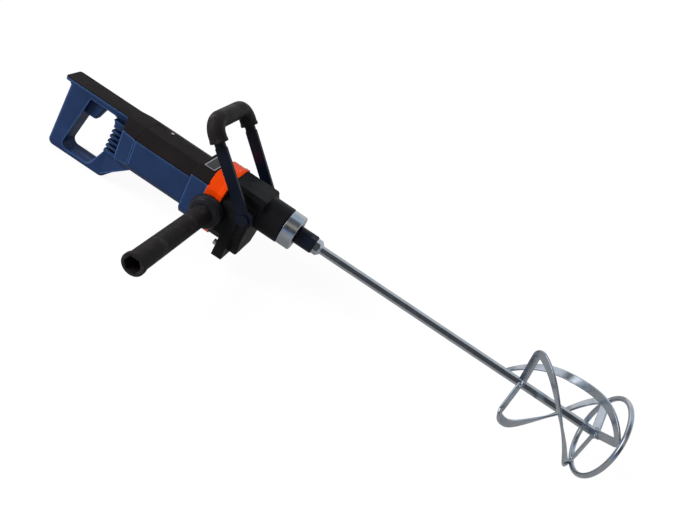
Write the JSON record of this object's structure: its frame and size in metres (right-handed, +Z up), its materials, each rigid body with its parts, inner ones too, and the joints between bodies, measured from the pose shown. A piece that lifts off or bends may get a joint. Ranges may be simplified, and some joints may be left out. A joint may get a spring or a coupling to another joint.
{
  "type": "mixing drill",
  "caption": "Hand-held electric mixing drill with a D-shaped rear handle, tilting bow handle, screw-in side handle, clamping collar and a ring paddle on a long hexagonal shaft.",
  "frame": {"origin": "on the spindle axis, in the middle of the clamping collar", "axes": "+X forward along the spindle axis towards the paddle, +Z up towards the bow handle, -Y towards the side handle"},
  "size_m": [0.9782, 0.305, 0.2281],
  "materials": {
    "navy_plastic": "moulded navy blue plastic, finely textured",
    "charcoal_plastic": "moulded charcoal plastic, finely textured",
    "black_case": "cast light alloy with satin black paint",
    "orange_flange": "cast light alloy with glossy orange paint",
    "black_rubber": "soft black rubber",
    "black_steel": "steel with satin black coating",
    "bright_steel": "bright zinc plated steel",
    "machine_steel": "ground steel",
    "zinc_screws": "zinc plated screws",
    "label_metal": "bare metal plate, nothing printed",
    "core_steel": "stacked sheet steel",
    "copper": "copper wire and copper bars",
    "black_plastic": "moulded black plastic",
    "graphite": "pressed carbon",
    "spring_steel": "spring wire"
  },
  "bodies": {
    "machine": {"handle_left_half": "navy_plastic", "handle_right_half": "navy_plastic", "motor_housing": "navy_plastic", "handle_top_cover": "charcoal_plastic", "motor_top_cover": "charcoal_plastic", "motor_front_cover": "charcoal_plastic", "gear_case": "black_case", "gear_case_middle": "black_case", "motor_flange": "orange_flange", "side_handle_grip": "black_rubber", "cord_inlet": "black_rubber", "spindle_seal": "black_rubber", "bow_pivot_bolts": "black_steel", "clamping_collar": "bright_steel", "spindle_front_bearing": "machine_steel", "spindle_rear_bearing": "machine_steel", "countershaft_front_bearing": "machine_steel", "countershaft_rear_bearing": "machine_steel", "rotor_front_bearing": "machine_steel", "rotor_rear_bearing": "machine_steel", "side_handle_stud": "machine_steel", "case_screws": "zinc_screws", "cover_screw": "zinc_screws", "handle_screws": "zinc_screws", "label_plate": "label_metal", "stator_core": "core_steel", "field_coils": "copper", "brush_holders": "black_plastic", "switch_module": "black_plastic", "side_handle_guard": "black_plastic", "carbon_brushes": "graphite", "brush_springs": "spring_steel", "trigger_spring": "spring_steel"},
    "spindle": {"spindle": "machine_steel", "spindle_gear": "machine_steel", "spindle_coupling": "black_steel", "spindle_circlip": "machine_steel", "paddle_shaft": "bright_steel", "paddle_nut": "bright_steel", "paddle_ring": "bright_steel", "paddle_blade_1": "bright_steel", "paddle_blade_2": "bright_steel", "paddle_blade_3": "bright_steel"},
    "countershaft": {"countershaft": "machine_steel", "countershaft_gear": "machine_steel", "countershaft_pinion": "machine_steel"},
    "rotor": {"rotor_shaft": "machine_steel", "rotor_core": "core_steel", "rotor_windings": "copper", "commutator": "copper", "cooling_fan": "black_plastic"},
    "trigger": {"trigger": "navy_plastic"},
    "bow": {"bow_arm_left": "black_steel", "bow_arm_right": "black_steel", "bow_cross_tube": "black_steel", "bow_grip_sleeve": "black_rubber"}
  },
  "joints": [
    {"name": "spindle_spin", "type": "hinge", "parent": "machine", "child": "spindle", "pos_m": [0, 0, 0], "axis": [1, 0, 0], "continuous": true},
    {"name": "countershaft_spin", "type": "hinge", "parent": "machine", "child": "countershaft", "pos_m": [-0.08, 0.02092, -0.0268], "axis": [1, 0, 0], "continuous": true},
    {"name": "rotor_spin", "type": "hinge", "parent": "machine", "child": "rotor", "pos_m": [-0.18, 0, -0.02], "axis": [1, 0, 0], "continuous": true},
    {"name": "trigger_press", "type": "slide", "parent": "machine", "child": "trigger", "axis": [-1, 0, 0], "range_m": [0, 0.006], "stiffness_N_per_m": 900, "springref_m": -0.004, "deforming": ["trigger_spring"]},
    {"name": "bow_tilt", "type": "hinge", "parent": "machine", "child": "bow", "pos_m": [-0.061, 0, 0], "axis": [0, 1, 0], "range_deg": [-25, 75]}
  ],
  "couplings": [
    {"joint": "countershaft_spin", "follows": "spindle_spin", "ratio": -2.4},
    {"joint": "rotor_spin", "follows": "spindle_spin", "ratio": 10.8}
  ]
}
